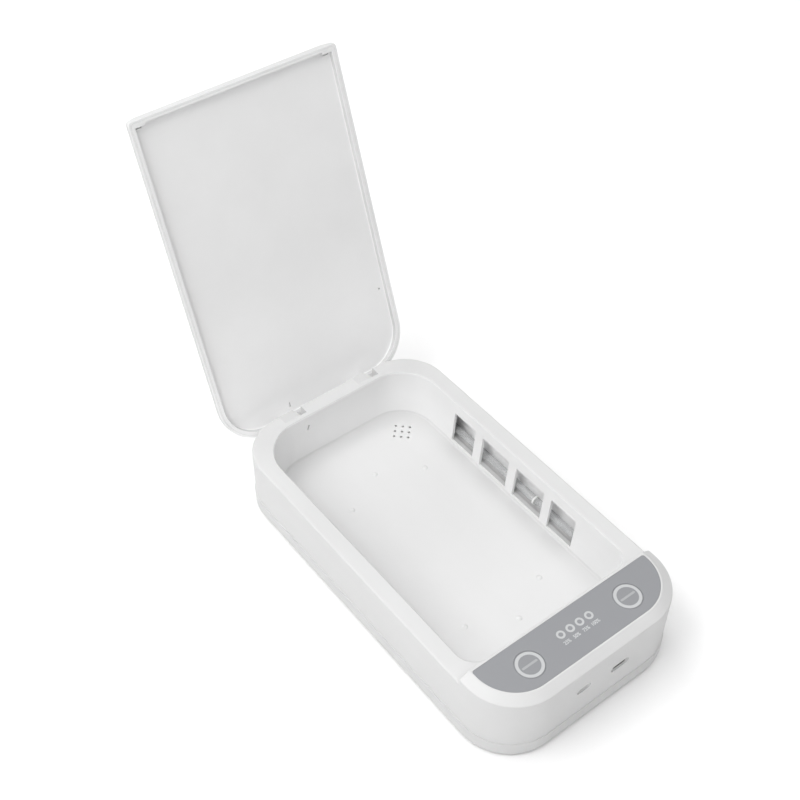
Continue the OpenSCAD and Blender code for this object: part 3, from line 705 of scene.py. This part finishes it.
def build_lid():
    y0, z0, zp = -75.4, 38.7, 41.3

    def ring(c, f, z, rf):
        """Inset c at the sides and rear, f at the free end."""
        return at(outline(HW - c, y0 + f, YR - c, rf, 24.7 - c), z)

    rings = []
    # panel inside the recess, its fillet, the lip
    lip, led = 3.4, 2.7
    r = 0.9
    for i in range(6):
        a = math.radians(90 * i / 5)
        g = r * (1 - math.sin(a))
        rings.append(ring(lip + g, led + g, zp - r + r * math.cos(a), 1.0 + 0.0 * g))
    rings.append(ring(lip, led, 39.1, 1.0))
    for i in range(1, 5):
        a = math.radians(90 * i / 4)
        g = 0.4 * (1 - math.cos(a))
        rings.append(ring(lip - g, led - g, 39.1 - 0.4 * math.sin(a), 1.2))
    for g, dz in ((1.65, 0.0), (1.55, 0.05), (1.5, 0.14), (1.28, 0.14), (1.22, 0.05), (1.12, 0.0)):
        rings.append(ring(g, g * 0.9, 38.7 + dz, 1.6))
    for i in range(5):
        a = math.radians(90 * i / 4)
        g = 0.4 * (1 - math.sin(a))
        rings.append(ring(g, g, 39.1 - 0.4 * math.cos(a), 2.0))
    prof = corner(0.0, 39.1, 0.0, 41.3, 5.2, 44.0, 0.9, 5) + corner(0.0, 41.3, 5.2, 44.0, 9.0, 44.0, 1.2, 4)
    levels = sorted(set([round(z, 5) for _, z in prof] + [43.5, 43.62, 43.73, 43.83, 43.91, 43.97]))
    prof = sorted(prof, key=lambda q: q[1])

    def inset(z):
        for (c0, q0), (c1, q1) in zip(prof, prof[1:]):
            if q0 <= z <= q1:
                return c0 if q1 == q0 else c0 + (c1 - c0) * (z - q0) / (q1 - q0)
        return prof[-1][0]

    for z in levels:
        back = 0.5 - math.sqrt(max(0.0, 0.25 - max(0.0, z - 43.5) ** 2))
        rings.append(ring(inset(z), back, z, 1.6))
    ob = raw("lid_cover", [loft(rings, True, True)])
    add = []
    for s in (1, -1):
        # corner gussets
        xs = (50.3, 56.4) if s > 0 else (-56.4, -50.3)
        rr = []
        for z, f in ((41.6, 0.0), (38.95, 0.0), (38.78, 0.08), (38.72, 0.25)):
            rr.append([(xs[0] + f, -73.4 + f, z), (xs[1] - f, -73.4 + f, z), (xs[1] - f, -71.7 - f, z), (xs[0] + f, -71.7 - f, z)])
        add.append(loft(rr, True, True))
    # hinge lugs: knuckle and arm, softened ends
    for s in (1, -1):
        xs = (17.45, 30.45) if s > 0 else (-30.45, -17.45)
        prof = arc(PIV[0], PIV[1], 2.6, 180, 360, 20)
        prof = [(PIV[0] - 1.75, 41.7), (PIV[0] - 1.75, PIV[1] + 1.92)] + arc(PIV[0], PIV[1], 2.6, 132.3, 340.4, 26)[1:-1] + [(PIV[0] + 2.45, PIV[1] - 0.87), (PIV[0] + 2.45, 41.7)]
        cy, cz = PIV[0] + 0.3, PIV[1] + 4.0
        rr = []
        for x, f in ((xs[0], 0.25), (xs[0] + 0.08, 0.08), (xs[0] + 0.25, 0.0), (xs[1] - 0.25, 0.0), (xs[1] - 0.08, 0.08), (xs[1], 0.25)):
            row = []
            for y, z in prof:
                d = Vector((y - PIV[0], min(z - PIV[1], 0.0)))
                q = d.length
                k = (q - f) / q if q > 1e-6 else 1.0
                if z > 41.0:
                    row.append((x, PIV[0] + (y - PIV[0]) * (abs(y - PIV[0]) - f) / abs(y - PIV[0]), z))
                else:
                    row.append((x, PIV[0] + d.x * k, z if z > PIV[1] else PIV[1] + d.y * k))
            rr.append(row)
        add.append(loft(rr, True, True))
    boolean(ob, raw("add", add), "UNION")
    # cam on the left lug
    a0 = math.radians(250)
    ny, nz = PIV[0] + 3.6 * math.cos(a0), PIV[1] + 3.6 * math.sin(a0)
    pts = arc(PIV[0], PIV[1], 2.0, 250 + 107, 250 + 253, 20) + arc(ny, nz, 0.9, 250 - 107 + 0, 250 + 107, 16)
    boolean(ob, raw("cam", [loft([[(x, y, z) for y, z in pts] for x in (-18.6, -17.6)], True, True)]), "UNION")
    cut = []
    for s in (1, -1):
        xs = (51.9, 54.9) if s > 0 else (-54.9, -51.9)
        cut.append(box(xs[0], xs[1], -71.65, -70.4, 40.0, 42.1))
        x0 = 15.0 if s > 0 else -33.0
        n = 40
        cut.append(loft([[(x, PIV[0] + 1.05 * math.cos(2 * math.pi * i / n), PIV[1] + 1.05 * math.sin(2 * math.pi * i / n)) for i in range(n)] for x in (x0, x0 + 18.0)], True, True))
    # short slot in the panel, above the slit
    cut.append(box(-18.55, -17.65, 97.9, 100.7, 40.0, 42.1))
    # small ejector dimple in the panel
    cut.append(lathe(52.7, 60.6, [(0.55, 40.9), (0.55, 41.3), (0.45, 41.45), (0.4, 42.4)], 20))
    boolean(ob, raw("cut", cut), "DIFFERENCE")
    ob.data.transform(lid_matrix())
    # painted light: the face towards the tray gets a brighter copy of the white plastic
    inward = lid_matrix().to_3x3() @ Vector((0, 0, -1))

    def inner(c, n):
        return n.dot(inward) > 0.6

    return finish_piece(ob, "lid", m_shell, ("lid_shell",), second=(m_lid_painted_light, inner))


build_lid()

# --------------------------------------------------------- lamps, reflectors

LAMP_X, LAMP_Z, LAMP_Y0, LAMP_Y1 = 52.4, 16.4, -51.5, 70.5
REFL_Z = 22.7


def along_y(cx, cz, profile, n=40):
    """Turned piece about an axis along Y. profile is (radius, y)."""
    return loft([[(cx + q * math.cos(2 * math.pi * i / n), y, cz + q * math.sin(2 * math.pi * i / n)) for i in range(n)] for q, y in profile], True, True)


for tag, s in (("right", 1), ("left", -1)):
    r = 2.1
    prof = [(0.3, LAMP_Y0)] + [(r * math.sin(math.radians(a)), LAMP_Y0 + r - r * math.cos(math.radians(a))) for a in (18, 36, 54, 72, 90)]
    prof += [(r, y) for y in (-30, 0, 30)] + [(r * math.sin(math.radians(a)), LAMP_Y1 - r + r * math.cos(math.radians(a))) for a in (90, 72, 54, 36, 18)] + [(0.3, LAMP_Y1)]
    prof_in = [(q * 0.88, y + (0.6 if y < 0 else -0.6)) for q, y in prof if q > 0.5]
    outer = along_y(s * LAMP_X, LAMP_Z, prof)
    inner = along_y(s * LAMP_X, LAMP_Z, prof_in)
    ob = raw(tag + "_tube", [outer])
    boolean(ob, raw("bore", [inner]), "DIFFERENCE")
    finish_piece(ob, "base", m_glass, (tag + "_lamp",))
    # electrodes inside both ends
    el = [along_y(s * LAMP_X, LAMP_Z, [(0.2, y0), (0.9, y0 + 0.3), (0.95, y0 + 3.6), (0.7, y0 + 4.0)], 24) for y0 in (LAMP_Y0 + 3.2, LAMP_Y1 - 7.4)]
    finish_piece(raw(tag + "_electrodes", el), "base", m_steel, ())
    # trough: a bent sheet 0.35 mm thick
    pts = [(51.5, REFL_Z + 8.5)] + [(53.7 + 3.05 * math.sin(math.radians(t)), REFL_Z - 1.1 + 9.6 * math.cos(math.radians(t))) for t in range(0, 181, 5)] + [(50.1, REFL_Z - 10.7), (48.6, REFL_Z - 11.75)]
    ins = [(51.5, REFL_Z + 8.15)] + [(53.7 + 2.7 * math.sin(math.radians(t)), REFL_Z - 1.1 + 9.25 * math.cos(math.radians(t))) for t in range(0, 181, 5)] + [(50.2, REFL_Z - 10.35), (48.6, REFL_Z - 11.4)]
    prof = pts + ins[::-1]
    rr = [[(s * x, y, z) for x, z in prof] for y in (-42.0, -41.8, 62.8, 63.0)]
    finish_piece(raw(tag + "_trough", [loft(rr, True, True)]), "base", m_refl, (tag + "_reflector",))

clips = []
for s in (1, -1):
    rr = []
    n = 36
    # round wire bent in a C about the tube, open towards the reflector
    for i in range(n + 1):
        a = math.radians(28 + (332 - 28) * i / n)
        ca, sa = math.cos(a), math.sin(a)
        ring = []
        for k in range(12):
            b = 2 * math.pi * k / 12
            q = 2.35 + 0.25 * math.cos(b)
            ring.append((s * (LAMP_X + q * ca), -5.1 + 0.5 * math.sin(b), LAMP_Z + q * sa))
        rr.append(ring)
    clips.append(loft(rr, True, True))
finish_piece(raw("tube_clips", clips), "base", m_clip, ("lamp_clips",))

# ------------------------------------------------------------ socket inserts


def build_usb_c():
    cx, cz = 11.7, 25.4
    out = [[(cx + x, y, cz + z) for x, z in stadium(8.94 - 2 * f, 3.26 - 2 * f)] for y, f in ((-99.4, 0.0), (-106.35, 0.0), (-106.46, 0.04), (-106.5, 0.12))]
    inn = [[(cx + x, y, cz + z) for x, z in stadium(8.34 + 2 * f, 2.66 + 2 * f)] for y, f in ((-106.5, 0.1), (-106.4, 0.02), (-106.2, 0.0), (-100.6, 0.0))]
    # the socket shell is coloured black, which paints the shade inside the slot
    ob = raw("usb_c_shell", [loft(out + inn, True, True)])
    finish_piece(ob, "base", m_black, ("usb_c_socket",))
    rr = []
    for y, f in ((-100.0, 0.0), (-105.3, 0.0), (-105.55, 0.08), (-105.6, 0.2)):
        rr.append([(cx - 3.35 + f, y, cz - 0.35 + f * 0.5), (cx + 3.35 - f, y, cz - 0.35 + f * 0.5), (cx + 3.35 - f, y, cz + 0.35 - f * 0.5), (cx - 3.35 + f, y, cz + 0.35 - f * 0.5)])
    finish_piece(raw("usb_c_tongue", [loft(rr, True, True)]), "base", m_black, ())
    pads = []
    for i in range(12):
        x = cx - 2.75 + 0.5 * i
        pads.append(box(x - 0.12, x + 0.12, -105.2, -101.5, cz + 0.34, cz + 0.38))
        pads.append(box(x - 0.12, x + 0.12, -105.2, -101.5, cz - 0.38, cz - 0.34))
    finish_piece(raw("usb_c_contacts", pads), "base", m_gold, ())


build_usb_c()


def build_micro():
    cx, z0 = -11.3, 26.0
    shape = [(-3.0, 0.0), (3.0, 0.0), (3.8, 0.9), (3.8, 2.6), (-3.8, 2.6), (-3.8, 0.9)]
    hole = [(-2.8, 0.3), (2.8, 0.3), (3.5, 1.05), (3.5, 2.3), (-3.5, 2.3), (-3.5, 1.05)]
    rings = [[(cx + x, y, z0 + z) for x, z in shape] for y in (-101.4, -106.3)]
    rings += [[(cx + x, y, z0 + z) for x, z in hole] for y in (-106.3, -102.6)]
    finish_piece(raw("micro_usb_shell", [loft(rings, True, True)]), "base", m_sock, ("micro_usb_socket",))
    rr = [[(cx - 2 + f, y, z0 + 1.35), (cx + 2 - f, y, z0 + 1.35), (cx + 2 - f, y, z0 + 1.95), (cx - 2 + f, y, z0 + 1.95)] for y, f in ((-102.4, 0), (-105.6, 0), (-105.8, 0.15))]
    finish_piece(raw("micro_usb_tongue", [loft(rr, True, True)]), "base", m_black, ())


build_micro()

# ------------------------------------------- inner pieces that keep their CAD

KEEP = {
    "cover_screws": m_steel, "start_stem": m_stem, "aroma_stem": m_stem, "key_board": m_board, "tact_switches": m_black,
    "indicator_leds": m_led, "board_ribbon": m_ivory, "main_board": m_board, "board_screws": m_steel, "hv_transformer": m_tape,
    "capacitors": m_black, "controller_chip": m_black, "lamp_connectors": m_ivory, "lamp_holders": m_holder, "lamp_leads": m_lead,
    "aroma_heater": m_film, "aroma_sponge": m_sponge, "aroma_cup": m_stem, "lid_switch": m_black, "switch_plunger": m_stem,
    "hinge_pins": m_steel,
}
for name, material in KEEP.items():
    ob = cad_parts[name]
    if not ob.material_slots:
        ob.data.materials.append(material)
    for slot in ob.material_slots:
        slot.material = material

# --------------------------------------------------- floor, light and camera

me = bpy.data.meshes.new("floor")
me.from_pydata([(-4, -4, 0), (4, -4, 0), (4, 4, 0), (-4, 4, 0)], [], [(0, 1, 2, 3)])
floor = bpy.data.objects.new("floor", me)
bpy.context.scene.collection.objects.link(floor)
m, nt, p = principled("floor_pale")
p.inputs["Base Color"].default_value = (0.95, 0.95, 0.95, 1)
p.inputs["Roughness"].default_value = 0.9
p.inputs["Specular IOR Level"].default_value = 0.1
me.materials.append(m)

world = bpy.data.worlds.new("studio")
bpy.context.scene.world = world
world.use_nodes = True
bg = world.node_tree.nodes["Background"]
bg.inputs["Color"].default_value = (1.0, 1.0, 1.0, 1)
bg.inputs["Strength"].default_value = 0.01


def area(name, loc, aim, sx, sy, watts):
    li = bpy.data.lights.new(name, "AREA")
    li.shape = "RECTANGLE"
    li.size, li.size_y = sx, sy
    li.energy = watts
    ob = bpy.data.objects.new(name, li)
    ob.location = loc
    ob.rotation_mode = "QUATERNION"
    ob.rotation_quaternion = (Vector(aim) - Vector(loc)).to_track_quat("-Z", "Y")
    bpy.context.scene.collection.objects.link(ob)
    return ob


AIM = (0, 0.05, 0.05)
area("top_soft", (0, 0, 1.8), AIM, 2.2, 2.2, 19.6)
area("left_soft", (-1.75, -0.45, 0.9), AIM, 1.4, 1.4, 4.4)
area("left_front_soft", (-1.3, -1.3, 1.0), AIM, 1.2, 1.2, 4.9)
area("front_soft", (-0.8, -1.75, 0.8), AIM, 1.4, 1.4, 4.8)
area("back_soft", (0, 1.9, 1.2), AIM, 1.4, 1.4, 14.5)
area("left_top_soft", (-1.1, 0.3, 1.5), AIM, 1.2, 1.2, 16.6)
area("right_top_soft", (1.1, 0.3, 1.6), AIM, 1.2, 1.2, 4.3)
area("front_high_soft", (0.1, -1.3, 1.7), AIM, 1.4, 0.9, 5.6)
area("back_high_soft", (0, 1.1, 1.7), AIM, 1.4, 0.9, 4.7)

cam_data = bpy.data.cameras.new("camera")
cam = bpy.data.objects.new("camera", cam_data)
bpy.context.scene.collection.objects.link(cam)
az, el, roll = math.radians(-38.311), math.radians(45.774), math.radians(0.686)
back = Vector((math.sin(az) * math.cos(el), -math.cos(az) * math.cos(el), math.sin(el)))
right = Vector((math.cos(az), math.sin(az), 0.0))
up = back.cross(right)
cx_ = right * math.cos(roll) + up * math.sin(roll)
cy_ = -right * math.sin(roll) + up * math.cos(roll)
rot = Matrix((cx_, cy_, back)).transposed().to_4x4()
cam.matrix_world = Matrix.Translation(Vector((-277.007, -307.099, 543.259)) * MM) @ rot
cam_data.sensor_width = 36.0
cam_data.lens = 59.157
cam_data.clip_start = 0.01
cam_data.clip_end = 50.0
bpy.context.scene.camera = cam
bpy.context.scene.view_settings.view_transform = "Standard"
bpy.context.scene.view_settings.look = "None"
